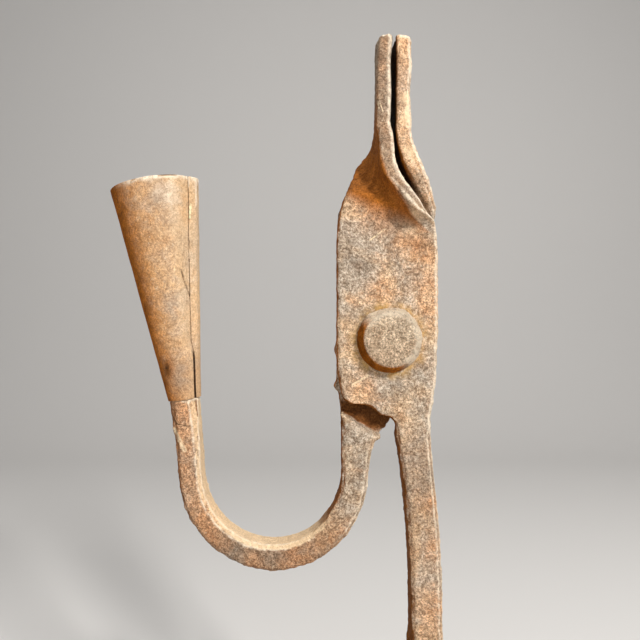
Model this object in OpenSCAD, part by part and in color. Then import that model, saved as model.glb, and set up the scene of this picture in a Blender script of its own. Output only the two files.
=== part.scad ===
// Rushlight holder: two iron jaws that nip a burning rush, closed by the weight of a
// candle socket on the moving jaw's arm, on a stem that stands in a turned wooden block.
// Sizes are in millimetres and angles in degrees. The origin is the middle of the
// block's underside and +Z is up. The two members lap in the XZ plane, and the rivet
// lies along Y. A viewer in front of the holder looks along +Y.

/* [Lap joint] */
// Width of both lap plates
plate_w = 26.4; // [22:0.5:30]
// How far the middle of the plates lies to the right of the rivet
plate_shift = -0.4; // [-2:0.1:1]
// Thickness of the bars, which each plate halves
bar_t = 8.6; // [7:0.2:11]
// Height above the rivet at which the plates fold into jaws
fold_h = 31.5; // [29:0.5:36]
// Drop from the rivet to the fixed plate's lower shoulder
shoulder_drop = 20; // [17:0.5:22]
// Drop from the rivet to the moving plate's lower shoulder
arm_drop = 22; // [21:0.5:25]
// Clearance between the two lap faces
lap_gap = 0.1; // [0.06:0.02:0.3]

/* [Jaws] */
// Height of the jaw tips above the rivet
jaw_h = 78.8; // [68:0.2:95]
// Height over which a plate turns to a jaw
twist_h = 25; // [20:0.5:28]
// Width of the jaws, from front to back
jaw_w = 14; // [10:0.5:18]
// Thickness of the jaws
jaw_t = 3.6; // [2.6:0.1:4.6]
// Extra distance that parts the jaws
jaw_gap = 0; // [0:0.1:1]

/* [Rivet] */
// Diameter of the rivet's shank
shank_d = 7; // [5:0.5:9]
// Diameter of the front head
head_d = 17; // [13:0.5:19]
// Height of the front head
head_h = 4.4; // [3:0.2:6]
// Diameter of the peened rear head
tail_d = 12; // [10:0.5:15]
// Height of the peened rear head
tail_h = 2.6; // [1.6:0.2:4]
// Clearance round the shank in both bores
bore_gap = 0.05; // [0.02:0.01:0.1]
// Side play under the rear head
side_play = 0.1; // [0.05:0.05:0.3]

/* [Stem] */
// Height of the rivet above the top of the block
stem_rise = 112; // [104:1:150]
// How far the rivet lies to the left of the stem's foot
stem_offset = 10; // [8:0.5:14]
// Width of the stem
stem_w = 8.2; // [7:0.1:10]
// Width of the stem's root, under the plate
stem_root_w = 9; // [8:0.2:11]
// Length of the twisted stretch near the foot
stem_twist_h = 32; // [24:1:36]
// Turn of the twisted stretch
stem_turn = 270; // [90:90:360]
// Length of the plain square foot under the twist
stem_foot_h = 3; // [2:0.5:6]
// Side of the square tang in the block
tang_w = 6; // [5:0.2:7]

/* [Counterweight arm] */
// Width of the arm's leg under the plate
leg_w = 6.9; // [6:0.1:9]
// Width of the arm at the bottom of its bend
bend_w = 6.8; // [5.5:0.1:8]
// Width of the arm's upturned leg
upturn_w = 5.9; // [5:0.1:7]
// Outside radius of the U bend
bend_r = 25.8; // [22:0.2:30]
// How much closer the bend runs on the leg's side, and half as much on the other
bend_in = 1.2; // [0:0.1:2.5]
// How far the middle of the bend lies to the left of the rivet
bend_x = 29.9; // [28:0.1:36]
// Drop from the rivet to the middle of the bend
bend_drop = 34.5; // [32:0.1:40]
// Height of the upturned leg above the middle of the bend
upturn_h = 18.9; // [12:0.1:26]

/* [Candle socket] */
// Outside diameter of the socket's mouth
mouth_d = 23; // [19:0.1:28]
// Outside diameter of the socket's neck
neck_d = 8.6; // [8.2:0.1:11]
// Length of the socket
socket_h = 56.8; // [45:0.2:70]
// Thickness of the socket's sheet iron
sheet_t = 1; // [0.8:0.1:1.4]
// How far the socket leans away from the stem
socket_lean = 8; // [0:0.1:12]
// Slope of the mouth, which is higher on the stem's side
mouth_slope = 4; // [0:0.5:6]
// Direction of the seam, turned to the right from the front
seam_angle = 60; // [30:5:90]
// Length of the open slit at the foot of the seam
slit_h = 11; // [5:0.5:18]
// Width of the open slit
slit_w = 0.6; // [0.3:0.1:1.2]
// Length of the arm's round end inside the neck
spigot_h = 14; // [8:0.5:18]

/* [Wooden base] */
// Diameter of the block at its foot
block_d = 110; // [96:1:130]
// Height of the block
block_h = 42; // [34:1:60]
// Side of the square iron collar on the block
collar_w = 24; // [18:0.5:32]
// Thickness of the collar
collar_t = 3; // [2:0.2:5]
// Diameter of the recess under the block
recess_d = 22; // [20:0.5:40]
// Depth of the recess
recess_h = 9; // [8:0.5:12]
// Diameter of the rove under the block
rove_d = 18; // [15:0.5:27]
// Thickness of the rove
rove_t = 2.4; // [1.6:0.2:3]
// Diameter of the peened end of the tang
peen_d = 10.6; // [10.4:0.2:13]
// Clearance round the tang in the block, the collar and the rove
tang_gap = 0.2; // [0.1:0.05:0.5]

/* [Hidden] */
$fn = 64;

iron = "peru";
dark_iron = "sienna";
wood = "saddlebrown";

// Worn edges of the bars and of the plates
bar_edge = 1.1;
plate_edge = 0.7;

half_bar = bar_t / 2;
half_gap = lap_gap / 2;
plate_l = plate_shift - plate_w / 2;
plate_r = plate_shift + plate_w / 2;
rivet_z = block_h + stem_rise;

// The plates' cross-sections come level in three steps of this height under the fold
level_step = 6;

// How the plates fold into jaws: six equal steps up the fold and then three up the jaw.
// Each row is the turn, the curl from side to side, the tilt, the share of the way from
// the plate's width to the jaw's, and how far the lap face is moved to the right and away
// from the other member
fold_steps = 6;
jaw_steps = 3;
fixed_fold = [
    [0, 0, 0.15, 0.12, 0.15, 0],
    [20, 24, 0.25, 0.19, 0.85, 1.6],
    [43, 26, 0.3, 0.36, 1.85, 1.35],
    [62, 24, 0.24, 0.54, 0.95, 1],
    [76, 11, 0.16, 0.84, 0.25, 0.4],
    [85, 0, 0, 0.95, 0.1, 0],
    [93, 0, 0, 1, 0.2, 0],
    [93, 0, 0, 1, 0.45, 0],
    [93, 0, 0, 1, 0.5, 0],
    [93, 0, 0, 1, 0.45, 0]
];
moving_fold = [
    [0, 0, 0.06, 0.06, 0, 0],
    [19, 5, 0.16, 0.17, -0.1, 1.5],
    [37, 12, 0.17, 0.36, 0, 1.4],
    [56, 19, 0.13, 0.54, 0.5, 1.4],
    [69, 13, 0.06, 0.76, 0.85, 0.7],
    [79, 6, 0.02, 0.93, 1.1, 0.1],
    [87.2, 0, 0, 1, 1.35, 0.2],
    [87.2, 0, 0, 1, 1.4, 0.2],
    [86.4, 0, 0, 1, 1.35, 0.2],
    [86.4, 0, 0, 1, 1.2, 0.2]
];

// The corner that is left where the stem leaves its plate: height over the shoulder, and
// share of the way from the plate's side to the stem's
fixed_corner = [[10, 0.03], [6, 0.08], [4.6, 0.11], [3.6, 0.2], [3.1, 0.5], [2, 0.62],
                [0.6, 0.72], [0, 0.88], [-1.3, 0.97], [-2.6, 1]];

// The same for the arm: heights of the left and right ends, and the share
moving_corner = [[11, 6.7, 0.06], [8, 4.6, 0.38], [5.5, 2, 0.63], [3.7, -1.3, 0.75],
                 [3.1, -2.8, 0.83]];
moving_root = [[2.6, -3.4, 0.83], [0, -4.4, 0.91], [-3, -7, 0.95], [-7.5, -8.5, 0.97]];

// The stem's root and the arm's leg, across, and how far the root lies under the shoulder
root_h = 5;
root_r = plate_r - 1.9;
root_l = root_r - stem_root_w;
leg_r = bend_r - bend_in - bend_x;
leg_l = leg_r - leg_w;

// Heights below the rivet
root_z = -shoulder_drop - root_h;
foot_z = collar_t - stem_rise;
twist_z = foot_z + stem_foot_h + stem_twist_h;
peen_z = recess_h - rove_t - rivet_z;
peen_h = 2.4;

// The arm's end, where the socket stands. The upturned leg takes the socket's lean, at once
// with a rate of 1 and evenly with a rate of 2.
lean_rate = 1.4;
upturn_x = -bend_x - bend_r + (bend_in + upturn_w) / 2;
neck_x = upturn_x - upturn_h * tan(socket_lean) / lean_rate;
neck_z = upturn_h - bend_drop;

function mix(a, b, t) = a + (b - a) * t;
function ease_in_out(t) = t * t * t * (t * (6 * t - 15) + 10);
function ease_out(t) = 1 - (1 - t) * (1 - t);

// A smooth curve through equally spaced rows, level at both ends
function slope(rows, i) =
    i <= 0 || i >= len(rows) - 1 ? rows[0] * 0 : (rows[i + 1] - rows[i - 1]) / 2;
function along(rows, u) =
    let (i = min(floor(u), len(rows) - 2), t = u - i)
    rows[i] * (1 + 2 * t) * (1 - t) * (1 - t) + slope(rows, i) * t * (1 - t) * (1 - t)
    + rows[i + 1] * t * t * (3 - 2 * t) + slope(rows, i + 1) * t * t * (t - 1);

// A cross-section is [x, z, heading, width, front, back, turn, curl, tilt, edge]: its
// point on the lap plane, the heading of its width in the XZ plane, how far its front and
// back faces lie in front of the lap plane, its turn, curl and tilt, and its worn edges
function section(x, z, width, front, back, edge, heading = 0, turn = 0, curl = 0, tilt = 0) =
    [x, z, heading, width, front, back, turn, curl, tilt, edge];

// A cross-section from its left end to its right end
function between(l, l_z, r, r_z, front, back, edge) =
    section((l + r) / 2, (l_z + r_z) / 2, r - l, front, back, edge, tilt = (l_z - r_z) / (r - l));

// The point of a cross-section that is a along its width and b in front of it
function spot(s, a, b) =
    let (turn = s[6], here = turn + s[7] * 2 * a / s[3], curled = abs(s[7]) > 0.01,
         radius = curled ? s[3] * 90 / s[7] / PI : 0,
         w = (curled ? radius * (sin(here) - sin(turn)) : a * cos(turn)) - b * sin(here),
         y = (curled ? radius * (cos(here) - cos(turn)) : -a * sin(turn)) - b * cos(here))
    [s[0] + w * cos(s[2]), y, s[1] + w * sin(s[2]) - a * s[8]];

// The corners of a cross-section, with three more points along each of its long faces
function ring(s) =
    let (a = s[3] / 2, f = s[4], b = s[5], e = s[9], inside = a - e)
    [
        for (g = [-1 : 0.5 : 1]) spot(s, g * inside, f),
        spot(s, a, f - e),
        spot(s, a, b + e),
        for (g = [1 : -0.5 : -1]) spot(s, g * inside, b),
        spot(s, -a, b + e),
        spot(s, -a, f - e)
    ];

// Cross-sections of a jaw and its fold, from the tip down. The fixed jaw lies in front of
// the lap plane and the moving jaw behind it.
function fold_z(u) =
    u <= fold_steps ? fold_h + twist_h * u / fold_steps
    : mix(fold_h + twist_h, jaw_h, (u - fold_steps) / jaw_steps);
function jaw_section(rows, u, side, worn) =
    let (row = along(rows, u), share = min(row[3], 1),
         inner = half_gap + row[5] + jaw_gap / 2 * share,
         outer = inner + mix(half_bar - half_gap, jaw_t, share) - worn / 3)
    section(row[4] + plate_shift * (1 - share), fold_z(u), mix(plate_w, jaw_w, share) - worn,
            side > 0 ? outer : -inner, side > 0 ? inner : -outer, plate_edge, turn = row[0],
            curl = row[1], tilt = row[2]);
function jaw_sections(rows, side) = [
    jaw_section(rows, fold_steps + jaw_steps, side, 1.8),
    jaw_section(rows, fold_steps + jaw_steps - 0.12, side, 0),
    jaw_section(rows, fold_steps + 2, side, 0),
    jaw_section(rows, fold_steps + 1, side, 0),
    for (i = [3 * fold_steps : -1 : 0]) jaw_section(rows, i / 3, side, 0)
];

// Cross-sections of a flat plate from the fold down to a height
function plate_sections(rows, end_z, front, back) = [
    for (i = [1 : 3])
        let (z = fold_h - i * level_step, tilt = rows[0][2] * (1 - i / 3))
        between(plate_l, z + tilt * plate_w / 2, plate_r, z - tilt * plate_w / 2, front, back,
                plate_edge),
    between(plate_l, end_z, plate_r, end_z, front, back, plate_edge)
];

// The middle of a ring of points
function middle(points) = [for (k = [0 : 2]) [for (p = points) p[k]] * [for (p = points) 1] / len(points)];

// A solid through a row of cross-sections, from the first, above, to the last
module forging(sections) {
    rings = [for (s = sections) ring(s)];
    n = len(rings[0]);
    last = len(rings) - 1;
    points = concat([for (r = rings) each r], [for (r = [rings[0], rings[last]]) middle(r)]);
    first_end = [for (k = [0 : n - 1]) [(k + 1) % n, k, len(points) - 2]];
    last_end = [for (k = [0 : n - 1]) [last * n + k, last * n + (k + 1) % n, len(points) - 1]];
    sides = [
        for (i = [0 : last - 1], k = [0 : n - 1])
            let (a = i * n + k, b = i * n + (k + 1) % n,
                 falling = norm(points[a] - points[b + n]) < norm(points[b] - points[a + n]))
            each falling ? [[a, b, b + n], [a, b + n, a + n]] : [[a, b, a + n], [b, b + n, a + n]]
    ];
    polyhedron(points, concat(first_end, sides, last_end), convexity = 10);
}

// Moves a shape from the rivet's axis to the holder's own frame
module at_rivet() {
    translate([-stem_offset, 0, rivet_z]) children();
}

// The hole for the rivet, through both members
module rivet_bore() {
    rotate([90, 0, 0]) cylinder(d = shank_d + 2 * bore_gap, h = 2 * bar_t, center = true);
}

// A square hole for the tang
module tang_hole(h) {
    side = tang_w + 2 * tang_gap;
    translate([-side / 2, -side / 2, -1]) cube([side, side, h + 2]);
}

// Left jaw, front plate, stem and tang: one forging
module fixed_jaw_stem() {
    corner = [
        for (c = fixed_corner)
            let (z = c[0] - shoulder_drop, drawn_in = 1 - 0.75 * max(c[0], 0) / fixed_corner[0][0])
            between(mix(plate_l, root_l, c[1]), z, mix(plate_r, root_r, drawn_in), z, half_bar,
                    half_gap, plate_edge)
    ];
    stem = [
        for (i = [0 : 8])
            let (u = i / 8)
            section(mix((root_l + root_r) / 2, stem_offset, ease_out(u)), mix(root_z, twist_z, u),
                    mix(stem_root_w, stem_w, ease_out(min(3 * u, 1))), half_bar, -half_bar, bar_edge)
    ];
    twist = [
        for (i = [1 : 27])
            section(stem_offset, mix(twist_z, twist_z - stem_twist_h, i / 27), stem_w, half_bar,
                    -half_bar, bar_edge, turn = -stem_turn * ease_in_out(i / 27))
    ];
    foot = [
        section(stem_offset, foot_z, stem_w, half_bar, -half_bar, bar_edge, turn = -stem_turn),
        section(stem_offset, foot_z, tang_w, tang_w / 2, -tang_w / 2, plate_edge, turn = -stem_turn),
        section(stem_offset, peen_z - peen_h / 2, tang_w, tang_w / 2, -tang_w / 2, plate_edge,
                turn = -stem_turn)
    ];
    color(iron) at_rivet() {
        difference() {
            forging(concat(jaw_sections(fixed_fold, 1),
                           plate_sections(fixed_fold, -2, half_bar, half_gap), corner, stem, twist,
                           foot));
            rivet_bore();
        }
        translate([stem_offset, 0, peen_z - peen_h]) cylinder(d1 = peen_d - 2, d2 = peen_d, h = peen_h);
    }
}

// Right jaw, rear plate and the arm: one forging, with a round end for the socket
module counterweight_arm() {
    corner = [
        for (c = moving_corner)
            between(mix(plate_l, leg_l, c[2]), c[0] - arm_drop, mix(plate_r, leg_r, c[2]),
                    c[1] - arm_drop, -half_gap, -half_bar, plate_edge)
    ];
    root = [
        for (c = moving_root)
            between(mix(plate_l, leg_l, c[2]), c[0] - arm_drop, mix(plate_r, leg_r, c[2]),
                    c[1] - arm_drop, half_bar, -half_bar, bar_edge)
    ];
    bend = [
        for (i = [0 : 18])
            let (u = i / 18, w = u < 0.5 ? mix(leg_w, bend_w, 2 * u) : mix(bend_w, upturn_w, 2 * u - 1),
                 drawn_in = bend_in * pow(cos(180 * u), 2) * (u < 0.5 ? 1 : 0.5),
                 r = bend_r - drawn_in - w / 2)
            section(r * cos(180 * u) - bend_x, -r * sin(180 * u) - bend_drop, w, half_bar, -half_bar,
                    bar_edge, heading = -180 * u)
    ];
    upturn = [
        for (i = [1 : 5])
            let (u = i / 5, depth = mix(bar_t, neck_d - 1, u * u))
            section(mix(upturn_x, neck_x, pow(u, lean_rate)), mix(-bend_drop, neck_z, u),
                    mix(upturn_w, neck_d - 1, u * u), depth / 2, -depth / 2,
                    mix(bar_edge, neck_d / 4, u * u),
                    heading = socket_lean * pow(u, lean_rate - 1) - 180)
    ];
    spigot_r = neck_d / 2 - sheet_t - 0.1;
    color(iron) at_rivet() difference() {
        union() {
            forging(concat(jaw_sections(moving_fold, -1),
                           plate_sections(moving_fold, -2, -half_gap, -half_bar), corner, root, bend,
                           upturn));
            translate([neck_x, 0, neck_z]) rotate([0, -socket_lean, 0]) translate([0, 0, -2])
                cylinder(r1 = spigot_r, r2 = spigot_r * 0.75, h = spigot_h + 2);
        }
        rivet_bore();
    }
}

// Sheet iron cone, open at the mouth, with a slit at the foot of its seam
module candle_socket() {
    neck_r = neck_d / 2;
    mouth_r = mouth_d / 2;
    spare_h = mouth_d * tan(mouth_slope);
    spare_r = mouth_r + (mouth_r - neck_r) * spare_h / socket_h;
    color(iron) at_rivet() translate([neck_x, 0, neck_z]) rotate([0, -socket_lean, 0]) difference() {
        rotate_extrude() polygon([[neck_r - sheet_t, 0], [neck_r, 0], [spare_r, socket_h + spare_h],
                                  [spare_r - sheet_t, socket_h + spare_h]]);
        translate([0, 0, socket_h]) rotate([0, -mouth_slope, 0]) translate([-mouth_d, -mouth_d, 0])
            cube([2 * mouth_d, 2 * mouth_d, mouth_d]);
        rotate([0, 0, seam_angle - 90]) translate([0, -slit_w / 2, -1]) cube([mouth_r, slit_w, slit_h + 1]);
    }
}

// Hinge pin with a hammered head in front and a peened head behind
module pivot_rivet() {
    tail = -half_bar - side_play;
    color(dark_iron) at_rivet() rotate([90, 0, 0]) rotate_extrude() polygon([
        [0, tail - tail_h], [0.3 * tail_d, tail - tail_h], [tail_d / 2, tail - 0.4 * tail_h],
        [tail_d / 2, tail], [shank_d / 2, tail], [shank_d / 2, half_bar], [head_d / 2, half_bar],
        [0.475 * head_d, half_bar + 0.45 * head_h], [0.435 * head_d, half_bar + 0.85 * head_h],
        [0.36 * head_d, half_bar + 0.97 * head_h], [0, half_bar + head_h]
    ]);
}

// Square iron plate between the stem's shoulder and the wood
module stem_collar() {
    half = collar_w / 2;
    clip = collar_w / 6;
    color(dark_iron) translate([0, 0, block_h]) difference() {
        linear_extrude(collar_t) polygon([
            for (a = [0 : 90 : 270], p = [[half, clip - half], [half, half - clip]])
                [p[0] * cos(a) - p[1] * sin(a), p[0] * sin(a) + p[1] * cos(a)]
        ]);
        tang_hole(collar_t);
    }
}

// Turned block with a square mortise for the tang and a recess under it
module base_block() {
    r = block_d / 2;
    rim_h = 0.36 * block_h;
    seat_r = 0.3 * block_d;
    color(wood) difference() {
        rotate_extrude() polygon(concat(
            [[0, 0], [r - 1.5, 0], [r, 1.5], [r, rim_h - 1.5], [r - 1.5, rim_h], [r - 3, rim_h]],
            [for (a = [0 : 7.5 : 90])
                [mix(seat_r, r - 3, cos(a)), mix(rim_h + 1, block_h, sin(a))]],
            [[0, block_h]]
        ));
        translate([0, 0, -1]) cylinder(d = recess_d, h = recess_h + 1);
        tang_hole(block_h);
    }
}

// Washer under the block, over which the tang is peened
module tang_rove() {
    color(dark_iron) translate([0, 0, recess_h - rove_t]) difference() {
        cylinder(d = rove_d, h = rove_t);
        tang_hole(rove_t);
    }
}

fixed_jaw_stem();
counterweight_arm();
candle_socket();
pivot_rivet();
stem_collar();
base_block();
tang_rove();
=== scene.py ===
import math

import bpy
import numpy as np
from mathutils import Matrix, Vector


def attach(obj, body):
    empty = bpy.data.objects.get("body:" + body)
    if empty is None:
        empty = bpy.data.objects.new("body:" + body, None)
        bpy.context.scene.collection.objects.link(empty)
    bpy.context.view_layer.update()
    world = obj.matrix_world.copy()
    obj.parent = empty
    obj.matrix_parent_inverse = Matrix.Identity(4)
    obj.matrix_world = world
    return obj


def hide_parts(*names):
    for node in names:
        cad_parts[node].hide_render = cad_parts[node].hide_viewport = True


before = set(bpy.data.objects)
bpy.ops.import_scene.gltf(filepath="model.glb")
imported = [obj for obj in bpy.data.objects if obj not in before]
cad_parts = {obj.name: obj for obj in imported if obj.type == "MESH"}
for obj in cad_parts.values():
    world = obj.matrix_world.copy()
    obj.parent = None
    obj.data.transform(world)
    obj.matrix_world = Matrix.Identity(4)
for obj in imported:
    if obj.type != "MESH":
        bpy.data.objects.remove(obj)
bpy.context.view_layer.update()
MM = 0.001


# Camera: level, straight in front, a little to the left of the rivet, as in the photograph.
camera_data = bpy.data.cameras.new("camera")
camera_data.sensor_width = 36
camera_data.lens = 36.11
camera_data.clip_start = 0.01
camera = bpy.data.objects.new("camera", camera_data)
camera.location = (-0.028, -0.1712, 0.15933)
camera.rotation_euler = (math.radians(90), 0, 0)
bpy.context.scene.collection.objects.link(camera)
bpy.context.scene.camera = camera


# Studio: a pale floor that sweeps up behind the holder, one lamp from the upper right, a
# weaker one overhead, and a soft even light from all round.
def clear_selection():
    bpy.ops.object.select_all(action="DESELECT")


def active_mesh(name):
    piece = bpy.context.object
    piece.name = piece.data.name = name
    return piece


def new_material(name):
    material = bpy.data.materials.new(name)
    material.use_nodes = True
    return material, material.node_tree, material.node_tree.nodes["Principled BSDF"].inputs


FLOOR_HALF = 1.2
SWEEP_START = 0.55
SWEEP_RADIUS = 0.35
clear_selection()
bpy.ops.mesh.primitive_plane_add(size=2 * FLOOR_HALF, location=(0, SWEEP_START - FLOOR_HALF, 0))
floor = active_mesh("floor")
bpy.ops.object.mode_set(mode="EDIT")
bpy.ops.mesh.select_all(action="DESELECT")
bpy.ops.object.mode_set(mode="OBJECT")
for edge in floor.data.edges:
    edge.select = all(floor.data.vertices[v].co.y > FLOOR_HALF - 0.01 for v in edge.vertices)
bpy.ops.object.mode_set(mode="EDIT")
bpy.ops.mesh.spin(steps=16, angle=math.radians(-90), center=(0, SWEEP_START, SWEEP_RADIUS),
                  axis=(1, 0, 0))
bpy.ops.mesh.extrude_region_move(TRANSFORM_OT_translate={"value": (0, 0, 1.5)})
bpy.ops.object.mode_set(mode="OBJECT")
bpy.ops.object.transform_apply(location=True, rotation=True, scale=True)
floor.data.shade_smooth()
paper, tree, shader = new_material("pale_paper")
shader["Base Color"].default_value = (0.72, 0.71, 0.7, 1)
shader["Roughness"].default_value = 0.9
shader["Specular IOR Level"].default_value = 0.2
floor.data.materials.append(paper)

bpy.context.scene.view_settings.view_transform = "Standard"
world = bpy.data.worlds.new("studio")
bpy.context.scene.world = world
world.use_nodes = True
world.node_tree.nodes["Background"].inputs["Color"].default_value = (1, 0.98, 0.96, 1)
world.node_tree.nodes["Background"].inputs["Strength"].default_value = 0.15


def lamp(name, place, size, watts, tint):
    data = bpy.data.lights.new(name, "AREA")
    data.shape = "DISK"
    data.size = size
    data.energy = watts
    data.color = tint
    body = bpy.data.objects.new(name, data)
    body.location = place
    aim = Vector((-0.02, 0, 0.15))
    body.rotation_euler = (aim - Vector(place)).to_track_quat("-Z", "Y").to_euler()
    bpy.context.scene.collection.objects.link(body)


lamp("key", (0.35, -0.59, 0.55), 0.14, 7.0, (1, 0.97, 0.93))
lamp("overhead", (0, -0.15, 0.95), 0.5, 4.2, (1, 0.98, 0.95))
lamp("front_fill", (0.1, -0.8, 0.25), 0.6, 1.0, (0.96, 0.98, 1))


# Fixed member: one forging with the left jaw, the front plate, the stem and its tang. The
# smith drew it out hot, so its faces are uneven. Thin rust of several browns lies over grey
# metal, deep in its hollows; the fold is deep orange with rust and painted shade, and faces
# turned from the lamp carry painted shade. Its edges are worn pale and round, with a painted
# highlight where they face the lamp.
RIVET = Vector((-10 * MM, 0, 154 * MM))


def join(tree, socket, value):
    """Feeds a value to a socket: another socket, a number or a colour."""
    if isinstance(value, bpy.types.NodeSocket):
        tree.links.new(value, socket)
    elif socket.type == "RGBA":
        socket.default_value = (*value, 1)
    else:
        socket.default_value = value


def mix_colour(tree, factor, a, b, blend="MIX"):
    node = tree.nodes.new("ShaderNodeMix")
    node.data_type = "RGBA"
    node.blend_type = blend
    node.clamp_factor = True
    for socket, value in ((node.inputs[0], factor), (node.inputs[6], a), (node.inputs[7], b)):
        join(tree, socket, value)
    return node.outputs[2]


def number(tree, operation, a, b=0.0):
    node = tree.nodes.new("ShaderNodeMath")
    node.operation = operation
    join(tree, node.inputs[0], a)
    join(tree, node.inputs[1], b)
    return node.outputs[0]


def arrow(tree, operation, a, b=(0, 0, 0), scale=1.0):
    node = tree.nodes.new("ShaderNodeVectorMath")
    node.operation = operation
    join(tree, node.inputs[0], a)
    join(tree, node.inputs[1], b)
    if operation == "SCALE":
        join(tree, node.inputs["Scale"], scale)
    return node.outputs["Value" if operation in ("LENGTH", "DOT_PRODUCT") else "Vector"]


def ramp(tree, value, low, high, bottom=0.0, top=1.0):
    node = tree.nodes.new("ShaderNodeMapRange")
    node.interpolation_type = "SMOOTHSTEP"
    for name, end in (("From Min", low), ("From Max", high), ("To Min", bottom), ("To Max", top)):
        node.inputs[name].default_value = end
    join(tree, node.inputs["Value"], value)
    return node.outputs["Result"]


def place_on(tree):
    return tree.nodes.new("ShaderNodeTexCoord").outputs["Object"]


def grain(tree, size, detail=4.0, roughness=0.6, stretch=(1, 1, 1), bend=0.0, shift=0.0):
    """Noise whose features are about size across."""
    mapping = tree.nodes.new("ShaderNodeMapping")
    mapping.inputs["Scale"].default_value = stretch
    mapping.inputs["Location"].default_value = (shift, shift, shift)
    noise = tree.nodes.new("ShaderNodeTexNoise")
    noise.inputs["Scale"].default_value = 1 / size
    noise.inputs["Detail"].default_value = detail
    noise.inputs["Roughness"].default_value = roughness
    noise.inputs["Distortion"].default_value = bend
    join(tree, mapping.inputs["Vector"], place_on(tree))
    join(tree, noise.inputs["Vector"], mapping.outputs["Vector"])
    return noise.outputs["Fac"]


def painted(tree, name):
    node = tree.nodes.new("ShaderNodeAttribute")
    node.attribute_name = name
    return node.outputs["Fac"]


def streak(tree, start, end, width):
    """A thin line between two points of the front, given across and up in millimetres."""
    start, end = (Vector((p[0] * MM, 0, p[1] * MM)) for p in (start, end))
    along = end - start
    offset = arrow(tree, "SUBTRACT", arrow(tree, "MULTIPLY", place_on(tree), (1, 0, 1)), start)
    share = arrow(tree, "DOT_PRODUCT", offset, along / along.length_squared)
    share = number(tree, "MINIMUM", number(tree, "MAXIMUM", share, 0.0), 1.0)
    nearest = arrow(tree, "SCALE", along, scale=share)
    gap = arrow(tree, "LENGTH", arrow(tree, "SUBTRACT", offset, nearest))
    normal = tree.nodes.new("ShaderNodeTexCoord").outputs["Normal"]
    facing_front = ramp(tree, arrow(tree, "DOT_PRODUCT", normal, (0, -1, 0)), 0.1, 0.5)
    line = number(tree, "MULTIPLY", ramp(tree, gap, width * MM / 2, width * MM / 5), facing_front)
    return number(tree, "MULTIPLY", line, ramp(tree, grain(tree, 0.9 * MM, 2), 0.35, 0.55, 0.1, 0.8))


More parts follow.
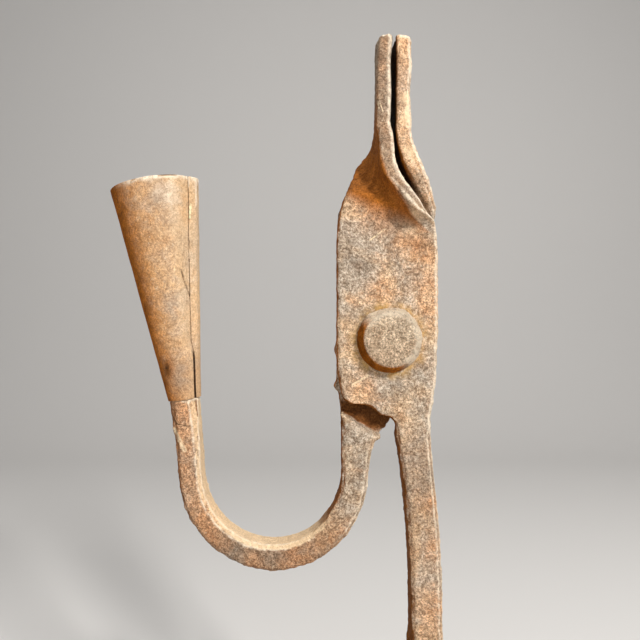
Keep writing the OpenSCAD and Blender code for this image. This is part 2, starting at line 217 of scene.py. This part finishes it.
def rusty_iron(name, metal, tan, ochre, shade, contrast=1.0, relief=1.0, marks=()):
    """Grey metal, tan and ochre rust in soft patches, with dark pits, pale specks and relief."""
    material, tree, shader = new_material(name)
    colour = mix_colour(tree, ramp(tree, grain(tree, 13 * MM, 5, 0.6, bend=0.6), 0.4, 0.6), metal, tan)
    spots = ramp(tree, grain(tree, 8 * MM, 6, 0.66, bend=0.6, shift=0.3), 0.5, 0.7, 0, 0.6)
    blot = ramp(tree, grain(tree, 3 * MM, 5, 0.7, shift=0.4), 0.3, 0.6, 0.3, 1)
    colour = mix_colour(tree, spots, colour, ochre)
    colour = mix_colour(tree, number(tree, "MULTIPLY", painted(tree, "ruddy"), blot), colour, ochre)
    slate = ramp(tree, grain(tree, 7 * MM, 6, 0.66, bend=0.6, shift=0.9), 0.52, 0.7, 0, 0.5)
    slate = number(tree, "MAXIMUM", slate, number(tree, "MULTIPLY", painted(tree, "bare"), blot))
    colour = mix_colour(tree, slate, colour, tuple(0.7 * v for v in metal))
    # Paler rust: a painted highlight and sheen on faces toward the lamps, and on the arm's smooth inner side.
    highlight_and_rubbed = painted(tree, "highlight_and_rubbed")
    colour = mix_colour(tree, number(tree, "MULTIPLY", highlight_and_rubbed, 0.85), colour, PALE_RUST_HIGHLIGHT)
    coarse = grain(tree, 3.2 * MM, 5, 0.62, bend=1.0, shift=0.5)
    medium = grain(tree, 1.3 * MM, 5, 0.72, bend=0.4, shift=0.6)
    fine = grain(tree, 0.5 * MM, 5, 0.8, bend=0.3)
    specks = grain(tree, 0.7 * MM, 3, 0.65, bend=0.3, shift=0.7)
    swing = number(tree, "MULTIPLY", number(tree, "SUBTRACT", 1.0, number(tree, "MULTIPLY", highlight_and_rubbed, 0.7)),
                   contrast)
    for field, low, high, dark, light in (
            (coarse, 0.32, 0.68, (0.76, 0.71, 0.65), (1.22, 1.24, 1.24)),
            (medium, 0.34, 0.66, (0.83, 0.78, 0.73), (1.13, 1.15, 1.16)),
            (fine, 0.38, 0.62, (0.42, 0.35, 0.28), (1.4, 1.42, 1.44))):
        tone = mix_colour(tree, ramp(tree, field, low, high), dark, light)
        colour = mix_colour(tree, swing, colour, tone, "MULTIPLY")
    pits = number(tree, "MULTIPLY", ramp(tree, specks, 0.6, 0.7, 0, 0.7), swing)
    colour = mix_colour(tree, pits, colour, shade)
    cream = number(tree, "MULTIPLY", ramp(tree, specks, 0.38, 0.28, 0, 0.7), swing)
    colour = mix_colour(tree, cream, colour, (0.88, 0.74, 0.56))
    # A darker brown over listed areas; below the fold it is painted shade.
    darker_tone = number(tree, "MULTIPLY", painted(tree, "dark_tone_and_shade"), ramp(tree, coarse, 0.35, 0.6, 0.45, 1))
    colour = mix_colour(tree, darker_tone, colour, (0.5, 0.34, 0.22), "MULTIPLY")
    # Pale edges: wear, with a painted highlight on edges that face the lamp.
    edge = number(tree, "MULTIPLY", painted(tree, "worn"), ramp(tree, medium, 0.35, 0.6, 0.3, 1))
    colour = mix_colour(tree, edge, colour, (0.92, 0.78, 0.6))
    # Deep orange rust in hollows, and painted shade on the fold, in grooves and on faces turned from the
    # lamp.
    rust_and_shade = painted(tree, "rust_and_shade")
    rust = mix_colour(tree, ramp(tree, fine, 0.3, 0.65), tuple(0.35 * v for v in DEEP_RUST_SHADE), DEEP_RUST_SHADE)
    rust = mix_colour(tree, 1.0, rust, mix_colour(tree, ramp(tree, coarse, 0.35, 0.65), (0.72, 0.68, 0.64),
                                                  (1.15, 1.15, 1.15)), "MULTIPLY")
    colour = mix_colour(tree, rust_and_shade, colour, rust)
    for start, end, width, tint in marks:
        colour = mix_colour(tree, streak(tree, start, end, width), colour, tint)
    # Painted shade: near black in the jaw gap, the groove, the socket's inside and its slit; also a dark scab
    # of rust.
    black_shade_and_scab = number(tree, "MULTIPLY", painted(tree, "black_shade_and_scab"), ramp(tree, fine, 0.65, 0.35, 0.8, 1))
    colour = mix_colour(tree, black_shade_and_scab, colour, (0.012, 0.008, 0.006))
    join(tree, shader["Base Color"], colour)
    join(tree, shader["Roughness"], ramp(tree, fine, 0.3, 0.7, 0.52, 0.85))
    shader["Metallic"].default_value = 0.1
    shine = number(tree, "SUBTRACT", 0.38, number(tree, "MULTIPLY", rust_and_shade, 0.35))
    join(tree, shader["Specular IOR Level"], shine)
    bump = tree.nodes.new("ShaderNodeBump")
    bump.inputs["Strength"].default_value = 1.0
    bump.inputs["Distance"].default_value = relief * MM
    uneven = number(tree, "ADD", number(tree, "MULTIPLY", medium, 0.8), number(tree, "MULTIPLY", fine, 0.3))
    join(tree, bump.inputs["Height"], uneven)
    join(tree, shader["Normal"], bump.outputs["Normal"])
    return material


# A paler rust for painted highlights and sheen, and a deep orange for rust in hollows and painted shade.
PALE_RUST_HIGHLIGHT = (0.86, 0.64, 0.4)
DEEP_RUST_SHADE = (0.56, 0.18, 0.02)
CREAM = (0.95, 0.76, 0.5)
UMBER = (0.1, 0.05, 0.02)
# Among the streaks, the cream line down the right jaw and the cream patch on the arm's left leg are painted
# highlights; the umber lines are a lap line.
forged_iron = rusty_iron(
    "forged_iron", (0.53, 0.45, 0.37), (0.64, 0.465, 0.31), (0.72, 0.42, 0.23), (0.2, 0.1, 0.045),
    marks=(((-15, 180.1), (-11.1, 183), 0.6, CREAM), ((-5.9, 217.5), (-5.6, 209), 1.5, CREAM),
           ((-13.4, 215.8), (-12.9, 213.6), 0.4, CREAM), ((-12.6, 214.8), (-11.9, 212.8), 0.4, CREAM),
           ((-19.7, 142.4), (-15.5, 145), 0.8, CREAM),
           ((-66.8, 134.4), (-65.4, 132.3), 0.5, UMBER), ((-65.4, 132.3), (-62, 131.6), 0.5, UMBER),
           ((-66, 130.6), (-63.2, 125.5), 1.6, CREAM)))


def dressed_copy(node, name, voxel, smoothing):
    """A copy of a CAD node with an even mesh and softened edges."""
    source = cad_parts[node]
    piece = bpy.data.objects.new(name, source.data.copy())
    piece.data.name = name
    piece.data.materials.clear()
    bpy.context.scene.collection.objects.link(piece)
    clear_selection()
    piece.select_set(True)
    bpy.context.view_layer.objects.active = piece
    bpy.ops.object.mode_set(mode="EDIT")
    bpy.ops.mesh.select_all(action="SELECT")
    bpy.ops.mesh.remove_doubles(threshold=0.002 * MM)
    bpy.ops.object.mode_set(mode="OBJECT")
    remesh = piece.modifiers.new("even_mesh", "REMESH")
    remesh.mode = "VOXEL"
    remesh.voxel_size = voxel
    remesh.use_smooth_shade = True
    bpy.ops.object.modifier_apply(modifier=remesh.name)
    soften = piece.modifiers.new("worn_edges", "SMOOTH")
    soften.factor = 0.5
    soften.iterations = smoothing
    bpy.ops.object.modifier_apply(modifier=soften.name)
    return piece


def read_mesh(piece):
    points = np.empty(len(piece.data.vertices) * 3)
    piece.data.vertices.foreach_get("co", points)
    normals = np.empty(len(piece.data.vertices) * 3)
    piece.data.vertices.foreach_get("normal", normals)
    return points.reshape(-1, 3), normals.reshape(-1, 3)


def move_points(piece, points):
    piece.data.vertices.foreach_set("co", points.ravel())
    piece.data.update()


def step(value, low, high):
    t = np.clip((value - low) / (high - low), 0, 1)
    return t * t * (3 - 2 * t)


def edginess(piece):
    """How far each point stands out of its surroundings, in millimetres."""
    points, normals = read_mesh(piece)
    ends = np.empty(len(piece.data.edges) * 2, dtype=np.int32)
    piece.data.edges.foreach_get("vertices", ends)
    a, b = ends.reshape(-1, 2).T
    count = len(points)
    shares = np.maximum(np.bincount(a, minlength=count) + np.bincount(b, minlength=count), 1)
    blurred = points.copy()
    for _ in range(9):
        blurred = np.stack([(np.bincount(a, blurred[b, k], count) + np.bincount(b, blurred[a, k], count))
                            / shares for k in range(3)], axis=1)
    return np.einsum("ij,ij->i", points - blurred, normals) / MM


def use_weights(piece, weights):
    group = piece.vertex_groups.new(name="free")
    for level in range(1, 11):
        chosen = np.nonzero(np.round(weights * 10) == level)[0]
        if len(chosen):
            group.add(chosen.tolist(), level / 10, "REPLACE")
    return group.name


def even_out(piece, weights, rounds):
    """Fairs part of a surface, as a hammer's last light blows do."""
    group = use_weights(piece, weights)
    fair = piece.modifiers.new("fair", "SMOOTH")
    fair.factor = 0.6
    fair.iterations = rounds
    fair.vertex_group = group
    bpy.ops.object.modifier_apply(modifier=fair.name)
    piece.vertex_groups.clear()


def hammered(piece, weights, layers):
    """Uneven faces: each layer is a name, a height, the size of its lumps and their detail."""
    group = use_weights(piece, weights)
    for label, strength, size, depth in layers:
        texture = bpy.data.textures.new(piece.name + "_" + label, "CLOUDS")
        texture.noise_scale = size * MM
        texture.noise_depth = depth
        displace = piece.modifiers.new(label, "DISPLACE")
        displace.texture = texture
        displace.texture_coords = "LOCAL"
        displace.strength = strength * MM
        displace.mid_level = 0.5
        displace.vertex_group = group
        bpy.ops.object.modifier_apply(modifier=displace.name)
    piece.vertex_groups.clear()


def paint(piece, name, values):
    attribute = piece.data.attributes.new(name, "FLOAT", "POINT")
    attribute.data.foreach_set("value", np.clip(values, 0, 1).astype(np.float32))


def finish_piece(piece, material, body, node):
    piece.data.materials.append(material)
    piece.data.shade_smooth()
    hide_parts(node)
    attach(piece, body)


# Painted highlight: convex edges that face the lamp, across and up, are marked pale.
def bright_rim(edges, normals):
    return step(edges, 0.05, 0.15) * step(normals[:, 0] + 0.6 * normals[:, 2], 0, 0.4)


def blotches(points, spots):
    """Soft spots on the front: distance across, height and radius of each, in millimetres."""
    total = np.zeros(len(points))
    for across, up, radius in spots:
        total += np.exp(-((points[:, 0] / MM - across) ** 2 + (points[:, 2] / MM - up) ** 2) / radius ** 2)
    return np.minimum(total, 1)


def lap_weights(points, normals, side):
    """Full away from the other member, and nothing on the faces that lie against it."""
    x, y, z = points.T
    lap = (np.abs(y) < 0.5 * MM) & (np.abs(normals[:, 1]) > 0.5) & (z > 128 * MM)
    inner = (z > 183 * MM) & ((normals[:, 0] * side > 0.2) | (normals[:, 1] * side > 0.5))
    from_rivet = np.hypot(x - RIVET.x, z - RIVET.z)
    clear = step(from_rivet, 8 * MM, 10 * MM) if side < 0 else step(from_rivet, 6 * MM, 8.5 * MM)
    return np.where(lap, 0.0, np.where(inner, 0.3, 1.0)) * clear


FORGED = (("dents", 0.28, 9, 1), ("pits", 0.3, 1.1, 3))
NICKS = (("nicks", 0.7, 2.4, 2),)
# The front line of the jaw's edge, where the plate has turned: height, and distance across
TURN_Z = np.array([182, 186.7, 190.4, 195.8, 200.9, 205, 212, 235]) * MM
TURN_X = np.array([1, -4.5, -7.2, -10.6, -12, -12.9, -13.4, -13.8]) * MM
fixed = dressed_copy("fixed_jaw_stem", "fixed_member", 0.35 * MM, 2)
points, normals = read_mesh(fixed)
edges = edginess(fixed)
x, y, z = points.T
in_fold = step(z, 179 * MM, 184 * MM) * step(z, 216 * MM, 209 * MM)
even_out(fixed, in_fold * step(edges, 0.1, 0.04), 80)
points, normals = read_mesh(fixed)
flare = 0.6 * MM * step(z, 224 * MM, 232 * MM) * step(-y, 2 * MM, 5 * MM)
front_lip = step(-y, 3.5 * MM, 6 * MM) * step(normals[:, 0], -0.2, 0.5)
lip = np.interp(z / MM, (184, 189, 194.5, 200, 205, 210, 221, 226),
                (0, 0.5, 0.6, 0.4, 0.35, 0.3, 0.25, 0)) * MM
points[:, 0] += flare + lip * front_lip
move_points(fixed, points)
edges = edginess(fixed)
weights = lap_weights(points, normals, 1)
hammered(fixed, weights * step(edges, 0.04, 0.16), NICKS)
hammered(fixed, weights, FORGED)
points, normals = read_mesh(fixed)
x, y, z = points.T
turned = step(np.interp(z, TURN_Z, TURN_X) - x, -0.2 * MM, 0.8 * MM) * (z > 182 * MM)
fold_line = 190.7 * MM - (x + 20.9 * MM) * 0.42
in_fold = turned * step(z - fold_line, -2 * MM, 3 * MM) * step(normals[:, 1], 0.6, 0.2)
in_fold = in_fold * (0.4 + 0.6 * step(z, 218 * MM, 206 * MM))
side_face = step(-normals[:, 0], 0.6, 0.9) * step(z, 227 * MM, 205 * MM)
hollow = 0.8 * step(-edges, 0.05, 0.2)
torn_edge = step(-normals[:, 2], 0.15, 0.45) * (z > 127 * MM) * (z < 142 * MM) * (x < -8 * MM)
# Deep orange of rust and painted shade on the fold; painted shade on faces turned from the lamp and under the
# plate's torn lower edge; deep rust in hollows.
paint(fixed, "rust_and_shade", np.maximum.reduce([0.95 * in_fold, 0.95 * side_face, hollow, 0.95 * torn_edge]))
# Pale edges: wear, and a painted highlight where they face the lamp.
paint(fixed, "worn", bright_rim(edges, normals))
# Painted shade below the fold; a darker tone on the left jaw's front, low on the stem and in two dark spots.
under_fold_shade = blotches(points, ((-14, 188, 4), (-10, 184, 4)))
jaw_front = (z > 186 * MM) * (1 - turned) * step(-normals[:, 1], 0.3, 0.7)
left_jaw = (z > 186 * MM) * (1 - turned)
paint(fixed, "bare", np.maximum(0.6 * left_jaw, 0.8 * blotches(points, (
    (-20, 176, 4.5), (-17, 172, 3), (-7, 143, 4), (-1, 147, 4), (-15, 160, 3), (0, 130, 5), (1, 119, 4)))))
paint(fixed, "ruddy", 0.95 * blotches(points, (
    (-1, 176, 3.5), (-5, 179, 3), (-12, 167, 4), (0, 168, 4), (1, 162, 3.5), (-17, 141, 3.5), (-13, 187, 5),
    (1, 112, 2.5), (2, 100, 3), (3, 84, 5))))
stem = step(z, 134 * MM, 124 * MM) * (0.75 - 0.35 * step(z, 115 * MM, 100 * MM))
dark_spots = blotches(points, ((-2, 179, 3.5), (-18, 173.5, 1.5)))
paint(fixed, "dark_tone_and_shade", np.maximum.reduce([0.65 * jaw_front, 0.55 * stem, 0.5 * under_fold_shade, 0.7 * dark_spots]))
facing_gap = step(normals[:, 0], 0.5, 0.8) * step(z, 184 * MM, 190 * MM)
# Painted highlight: a paler spot lightens the shade just below the fold.
paint(fixed, "highlight_and_rubbed", 0.7 * blotches(points, ((-4.5, 185.8, 3),)))
# Painted shade: near black on the jaw's face toward the gap, under the torn edge, low on the left faces and
# in the fold.
paint(fixed, "black_shade_and_scab", np.maximum.reduce([facing_gap * step(y, -7 * MM, -5.8 * MM), 0.4 * torn_edge,
                                        0.35 * side_face * (z < 140 * MM),
                                        0.5 * blotches(points, ((-18.8, 195, 3.5),))]))
finish_piece(fixed, forged_iron, "stand", "fixed_jaw_stem")


# Moving member: one forging with the right jaw, the rear plate and the arm, bent to a U. Its
# inner side, where the arm was drawn over the anvil's horn, is smooth, and pale with a painted
# highlight where it faces up or toward the lamp.
arm = dressed_copy("counterweight_arm", "moving_member", 0.35 * MM, 2)
points, normals = read_mesh(arm)
edges = edginess(arm)
x, y, z = points.T
in_fold = step(z, 179 * MM, 184 * MM) * step(z, 216 * MM, 209 * MM)
even_out(arm, in_fold * step(edges, 0.1, 0.04), 60)
points, normals = read_mesh(arm)
points[:, 0] -= 0.35 * MM * np.exp(-((z / MM - 218) / 4) ** 2) * step(normals[:, 0], 0.0, 0.6)
front_lip = step(-y, 3.5 * MM, 6 * MM) * step(-normals[:, 0], -0.2, 0.5)
lip = np.interp(z / MM, (184, 189, 194.5, 200, 205, 210, 221, 232),
                (0, 0.3, 0.5, 0.9, 0.6, 0.45, 0.45, 0.3)) * MM
points[:, 0] -= lip * front_lip
left_rim = step(-normals[:, 0], 0.3, 0.8) * (x < -20 * MM) * (z > 128 * MM)
for height, reach, spread in ((141.6, 0.9, 1.1), (151.4, 0.5, 1.6)):
    points[:, 0] -= reach * MM * left_rim * np.exp(-((z / MM - height) / spread) ** 2)
move_points(arm, points)
edges = edginess(arm)
weights = lap_weights(points, normals, -1)
hammered(arm, weights * step(edges, 0.04, 0.16), NICKS)
inner_side = step(normals[:, 2], 0.3, 0.7) * (z < 140 * MM) * (x < -22 * MM)
hammered(arm, weights * (1 - 0.7 * inner_side), FORGED)
torn = step(z, 126 * MM, 129 * MM) * step(z, 139 * MM, 137 * MM) * (x > -30 * MM) * (y < -0.5 * MM)
hammered(arm, weights * torn, (("scale", 1.1, 1.8, 3),))
points, normals = read_mesh(arm)
x, y, z = points.T
# Painted shade: deep orange on faces turned from the lamp and in the groove under the front plate; hollows
# get deep rust.
side_face = step(-normals[:, 0], 0.55, 0.9)
groove = step(z, 129 * MM, 131 * MM) * step(z, 139 * MM, 137 * MM) * step(-normals[:, 1], 0.5, 0.8)
groove = groove * (y > -2.5 * MM)
paint(arm, "rust_and_shade", np.maximum.reduce([0.95 * side_face, 0.9 * groove, 0.8 * step(-edges, 0.05, 0.2)]))
below_torn = step(z, 126 * MM, 129 * MM) * (z < 140 * MM) * (x > -30 * MM)
# Pale edges: wear, and a painted highlight where they face the lamp; little below the torn edge.
paint(arm, "worn", bright_rim(edges, normals) * (1 - 0.85 * below_torn))
# Painted highlight: paler where the U's inner side faces up or toward the lamp, and a sheen down the right
# jaw.
inner_side = np.maximum(step(normals[:, 2], 0.25, 0.6), step(normals[:, 0], 0.5, 0.8) * (x < -45 * MM))
inner_side = inner_side * (z < 140 * MM) * (x < -22 * MM)
jaw_shine = blotches(points, ((-5.8, 216, 1.4), (-5.8, 211, 1.4), (-4.8, 202, 1.6)))
paint(arm, "highlight_and_rubbed", np.maximum(inner_side, jaw_shine * (x > -9 * MM)))
right_jaw = step(z, 186 * MM, 192 * MM) * (x > -12 * MM)
red_spots = blotches(points, ((-64, 136, 5), (-65, 127, 5), (-65, 118, 5), (-58, 108, 6), (-34, 97, 5),
                              (-45, 95, 3)))
paint(arm, "ruddy", np.maximum(0.6 * right_jaw, red_spots))
paint(arm, "bare", 0.8 * blotches(points, ((-18, 124, 5), (-19, 116, 4), (-50, 100, 4), (-40, 98, 4))))
leg = 0.4 * (x < -55 * MM)
paint(arm, "dark_tone_and_shade", np.maximum(leg, 0.75 * step(z, 114 * MM, 101 * MM)) * (1 - inner_side))
# Painted shade: near black on the jaw's face toward the gap, in the groove, low on the left faces and on the
# spigot inside the socket.
facing_gap = step(-normals[:, 0], 0.5, 0.8) * step(z, 184 * MM, 190 * MM)
spigot = (z > 139.5 * MM) * (x < -55 * MM)
paint(arm, "black_shade_and_scab", np.maximum.reduce([facing_gap * step(y, -7 * MM, -5.8 * MM), 0.7 * groove,
                                      0.35 * side_face * (z < 140 * MM), 0.95 * spigot]))
finish_piece(arm, forged_iron, "arm", "counterweight_arm")


# Rivet: the hinge pin of the two members. The hammer has left its thick head off centre and
# uneven, and ochre rust creeps out from under it. Its rear end is peened.
def rust_ring(tree, colour):
    flat = arrow(tree, "MULTIPLY", arrow(tree, "SUBTRACT", place_on(tree), RIVET), (1, 0, 1))
    distance = arrow(tree, "LENGTH", flat)
    patchy = ramp(tree, grain(tree, 3 * MM, 4, 0.6, shift=0.2), 0.4, 0.62, 0.05, 0.65)
    wide = number(tree, "MULTIPLY", ramp(tree, distance, 11.5 * MM, 8.4 * MM), patchy)
    line = number(tree, "MULTIPLY", ramp(tree, distance, 9.9 * MM, 9 * MM), number(tree, "ADD", patchy, 0.12))
    return mix_colour(tree, number(tree, "MAXIMUM", wide, line), colour, (0.66, 0.38, 0.1))


tree = forged_iron.node_tree
base_colour = tree.nodes["Principled BSDF"].inputs["Base Color"]
join(tree, base_colour, rust_ring(tree, base_colour.links[0].from_socket))
rivet_iron = rusty_iron("rivet_iron", (0.8, 0.65, 0.49), (0.8, 0.63, 0.46), (0.64, 0.44, 0.28),
                        (0.2, 0.12, 0.06), contrast=0.9, relief=2.5)
rivet = dressed_copy("pivot_rivet", "rivet", 0.3 * MM, 3)
points, normals = read_mesh(rivet)
lift = np.clip((-points[:, 1] - 4.3 * MM) / (4.4 * MM), 0, 1)
points[:, 0] += 0.35 * MM * lift
points[:, 2] += 0.45 * MM * lift
move_points(rivet, points)
proud = step(np.abs(points[:, 1]), 4.5 * MM, 5.2 * MM)
hammered(rivet, proud, (("blows", 1.1, 4, 1), ("pits", 0.8, 1.6, 3)))
points, normals = read_mesh(rivet)
across = points[:, 0] - RIVET.x - 0.35 * MM
up = points[:, 2] - RIVET.z - 0.45 * MM
from_axis = np.hypot(across, up)
# Painted shade on the side of the head turned from the lamp, and a painted highlight on the bevel facing it.
shaded = step(-(0.75 * across + 0.66 * up) / np.maximum(from_axis, MM), 0, 0.5)
paint(rivet, "rust_and_shade", shaded * step(from_axis, 6.9 * MM, 7.4 * MM) * (points[:, 1] < 0))
paint(rivet, "worn", 0.9 * step(from_axis, 5.4 * MM, 6.6 * MM) * (1 - shaded) * proud)
paint(rivet, "dark_tone_and_shade", 0.3 * step(points[:, 2], RIVET.z + 2 * MM, RIVET.z - 4 * MM) * proud)
finish_piece(rivet, rivet_iron, "stand", "pivot_rivet")


# Candle socket: a fan of sheet iron rolled to a cone. Its edges lap at the seam, and at the
# foot they spring apart to an open slit.
# The greenish line by the seam near the mouth is a painted highlight; the umber lines are cracks.
sheet_iron = rusty_iron(
    "sheet_iron", (0.53, 0.40, 0.29), (0.60, 0.385, 0.21), (0.60, 0.30, 0.11), (0.2, 0.09, 0.035),
    contrast=0.6, relief=0.5,
    marks=(((-63.7, 172.3), (-63, 169), 0.5, UMBER), ((-63, 169), (-62.1, 165.6), 0.4, UMBER),
           ((-61.8, 189.5), (-62, 186), 0.7, (0.75, 0.8, 0.5))))
SOCKET_FOOT = Vector((-64.05 * MM, 0, 138.4 * MM))
SOCKET_LEAN = math.radians(-8)
SOCKET_H = 57.1 * MM
MOUTH_RISE = math.tan(math.radians(2))
NECK_R = 4.3 * MM
MOUTH_R = 11.5 * MM
SHEET = 1.0 * MM
SEAM = math.radians(-38)
SEAM_DRIFT = math.radians(15)
LAP = math.radians(12)
SLIT_H = 11 * MM
SLIT_HALF = 0.3 * MM
THIN_EDGE = 0.8
clear_selection()
bpy.ops.mesh.primitive_grid_add(x_subdivisions=220, y_subdivisions=110, size=2)
socket = active_mesh("socket_sheet")
thickness = socket.vertex_groups.new(name="thickness")
for vertex in socket.data.vertices:
    rise = (vertex.co.y + 1) / 2
    turn = (vertex.co.x + 1) / 2
    seam = SEAM + SEAM_DRIFT * rise
    around = seam + (2 * math.pi + LAP) * turn
    height = rise * (SOCKET_H + MOUTH_R * math.cos(around) * MOUTH_RISE)
    radius = NECK_R + (MOUTH_R - NECK_R) * height / SOCKET_H
    lapped = min(max((height - SLIT_H) / (4 * MM), 0), 1)
    gap = SLIT_HALF / radius * (1 - lapped)
    start = seam + gap
    end = seam + 2 * math.pi - gap + LAP * lapped
    angle = start + (end - start) * turn
    under = min(max((angle - seam - 2 * math.pi + math.radians(40)) / math.radians(38), 0), 1)
    radius -= 1.04 * SHEET * lapped * under * under * (3 - 2 * under)
    thinned = THIN_EDGE * lapped * max(1 - (angle - start) / math.radians(16), 0)
    thickness.add([vertex.index], 1 - thinned, "REPLACE")
    radius -= thinned * SHEET
    vertex.co = (radius * math.cos(angle), radius * math.sin(angle), height)
wall = socket.modifiers.new("wall", "SOLIDIFY")
wall.thickness = SHEET
wall.offset = -1
wall.vertex_group = thickness.name
bpy.ops.object.modifier_apply(modifier=wall.name)
rim = socket.modifiers.new("worn_rim", "BEVEL")
rim.width = 0.24 * MM
rim.segments = 2
rim.limit_method = "ANGLE"
rim.angle_limit = math.radians(50)
bpy.ops.object.modifier_apply(modifier=rim.name)
socket.rotation_euler = (0, SOCKET_LEAN, 0)
socket.location = SOCKET_FOOT
bpy.ops.object.transform_apply(location=True, rotation=True, scale=True)
points, normals = read_mesh(socket)
hammered(socket, np.ones(len(points)), (("dents", 0.25, 7, 1),))
points, normals = read_mesh(socket)
axis = np.array((math.sin(SOCKET_LEAN), 0, math.cos(SOCKET_LEAN)))
height = (points - np.array(SOCKET_FOOT)) @ axis
outward = points - np.array(SOCKET_FOOT) - np.outer(height, axis)
facing_in = np.einsum("ij,ij->i", outward, normals) < 0
# Painted shade: deep orange inside the cone and on the side turned from the lamp; a scab of rust low on the
# left side.
left_side = step(-normals[:, 0], 0.15, 0.85)
scab = np.exp(-((points[:, 0] / MM + 67.6) / 1.4) ** 2 - ((points[:, 2] / MM - 146.5) / 3.4) ** 2)
paint(socket, "rust_and_shade", np.where(facing_in, 0.8, np.maximum(left_side, 0.8 * scab)))
turned = np.arctan2(outward[:, 1], outward[:, 0] * axis[2] - outward[:, 2] * axis[0])
off_seam = np.abs(turned - SEAM - SEAM_DRIFT * height / SOCKET_H) * np.linalg.norm(outward, axis=1)
slit = (off_seam < SLIT_HALF + 0.1 * MM) * step(height, SLIT_H + 3 * MM, SLIT_H)
# Painted shade: near black inside the cone and in the slit, and on the scab.
paint(socket, "black_shade_and_scab", np.where(facing_in, 0.9, np.maximum(0.85 * scab ** 2, slit)))
# Painted shade: a deeper orange on the side turned from the lamp.
paint(socket, "ruddy", step(-normals[:, 0], -0.3, 0.5))
# Painted highlight: paler on the outside that faces the lamp.
paint(socket, "highlight_and_rubbed", 0.4 * step(normals[:, 0], 0.3, 0.9) * ~facing_in)
paint(socket, "bare", 0.6 * blotches(points, ((-64, 144, 3.2), (-63, 180, 5))))
paint(socket, "dark_tone_and_shade", 0.4 * step(height, 22 * MM, 6 * MM))
paint(socket, "worn", step(edginess(socket), 0.02, 0.08) * (height > 50 * MM))
finish_piece(socket, sheet_iron, "arm", "candle_socket")


# Collar: a square iron plate, clipped at its corners, between the stem's foot and the block.
foot_iron = rusty_iron("foot_iron", (0.34, 0.27, 0.21), (0.42, 0.29, 0.19), (0.5, 0.26, 0.11),
                       (0.07, 0.04, 0.022))
collar = dressed_copy("stem_collar", "collar", 0.3 * MM, 4)
hammered(collar, np.ones(len(collar.data.vertices)), (("dents", 0.3, 4, 1), ("pits", 0.25, 0.9, 3)))
paint(collar, "worn", 0.6 * step(edginess(collar), 0.06, 0.2))
finish_piece(collar, foot_iron, "stand", "stem_collar")


# Rove: an iron washer let into the underside of the block, with the tang peened over it.
rove = dressed_copy("tang_rove", "rove", 0.3 * MM, 3)
hammered(rove, np.ones(len(rove.data.vertices)), (("dents", 0.2, 3, 1), ("pits", 0.15, 0.8, 3)))
finish_piece(rove, foot_iron, "stand", "tang_rove")


# Base block: a hardwood block turned on a lathe, domed, with a bead round its foot. Old wax
# and handling have darkened it. The tang passes through its mortise.
BLOCK_R = 55 * MM
BLOCK_H = 42 * MM
RECESS_R = 11 * MM
RECESS_H = 9 * MM
outline = [(RECESS_R, RECESS_H), (RECESS_R, 0), (53.5 * MM, 0), (54.4 * MM, 0.4 * MM),
           (BLOCK_R, 1.5 * MM), (BLOCK_R, 13.6 * MM), (54.6 * MM, 14.7 * MM), (53.5 * MM, 15.1 * MM),
           (52.2 * MM, 15.1 * MM), (52 * MM, 15.3 * MM)]
outline += [(33 * MM + 19 * MM * math.cos(t), 16.1 * MM + 25.9 * MM * math.sin(t))
            for t in (math.radians(90) * i / 24 for i in range(25))]
block_mesh = bpy.data.meshes.new("base_wood")
corners = [(0, 0, RECESS_H)] + [(r, 0, z) for r, z in outline] + [(0, 0, BLOCK_H)]
block_mesh.from_pydata(corners, [(i, i + 1) for i in range(len(corners) - 1)], [])
block = bpy.data.objects.new("base_wood", block_mesh)
bpy.context.scene.collection.objects.link(block)
clear_selection()
block.select_set(True)
bpy.context.view_layer.objects.active = block
bpy.ops.object.mode_set(mode="EDIT")
bpy.ops.mesh.select_all(action="SELECT")
bpy.ops.mesh.spin(steps=160, angle=math.radians(360), center=(0, 0, 0), axis=(0, 0, 1))
bpy.ops.mesh.select_all(action="SELECT")
bpy.ops.mesh.remove_doubles(threshold=0.01 * MM)
bpy.ops.mesh.normals_make_consistent(inside=False)
bpy.ops.object.mode_set(mode="OBJECT")
clear_selection()
bpy.ops.mesh.primitive_cube_add(size=1, location=(0, 0, BLOCK_H / 2), scale=(6.4 * MM, 6.4 * MM, 60 * MM))
mortise = bpy.context.object
hole = block.modifiers.new("mortise", "BOOLEAN")
hole.operation = "DIFFERENCE"
hole.solver = "EXACT"
hole.object = mortise
bpy.context.view_layer.objects.active = block
bpy.ops.object.modifier_apply(modifier=hole.name)
bpy.data.objects.remove(mortise)
turned_wood, tree, shader = new_material("turned_wood")
fibre = grain(tree, 26 * MM, 3, 0.5, stretch=(0.14, 1, 0.7), bend=0.15)
rings = ramp(tree, number(tree, "PINGPONG", number(tree, "MULTIPLY", fibre, 16.0), 1.0), 0.1, 0.9)
colour = mix_colour(tree, rings, (0.16, 0.062, 0.022), (0.30, 0.14, 0.055))
pores = ramp(tree, grain(tree, 0.9 * MM, 3, 0.6, stretch=(0.08, 1, 1)), 0.56, 0.68)
colour = mix_colour(tree, number(tree, "MULTIPLY", pores, 0.7), colour, (0.05, 0.02, 0.008))
handled = ramp(tree, grain(tree, 30 * MM, 4, 0.6), 0.35, 0.7)
colour = mix_colour(tree, number(tree, "MULTIPLY", handled, 0.5), colour, (0.09, 0.035, 0.014))
join(tree, shader["Base Color"], colour)
join(tree, shader["Roughness"], ramp(tree, handled, 0, 1, 0.36, 0.52))
bump = tree.nodes.new("ShaderNodeBump")
bump.inputs["Strength"].default_value = 0.6
bump.inputs["Distance"].default_value = 0.25 * MM
join(tree, bump.inputs["Height"], number(tree, "MULTIPLY", pores, -1.0))
join(tree, shader["Normal"], bump.outputs["Normal"])
block.data.materials.append(turned_wood)
block.data.shade_smooth()
clear_selection()
block.select_set(True)
bpy.ops.object.shade_smooth_by_angle(angle=math.radians(35))
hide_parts("base_block")
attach(block, "stand")
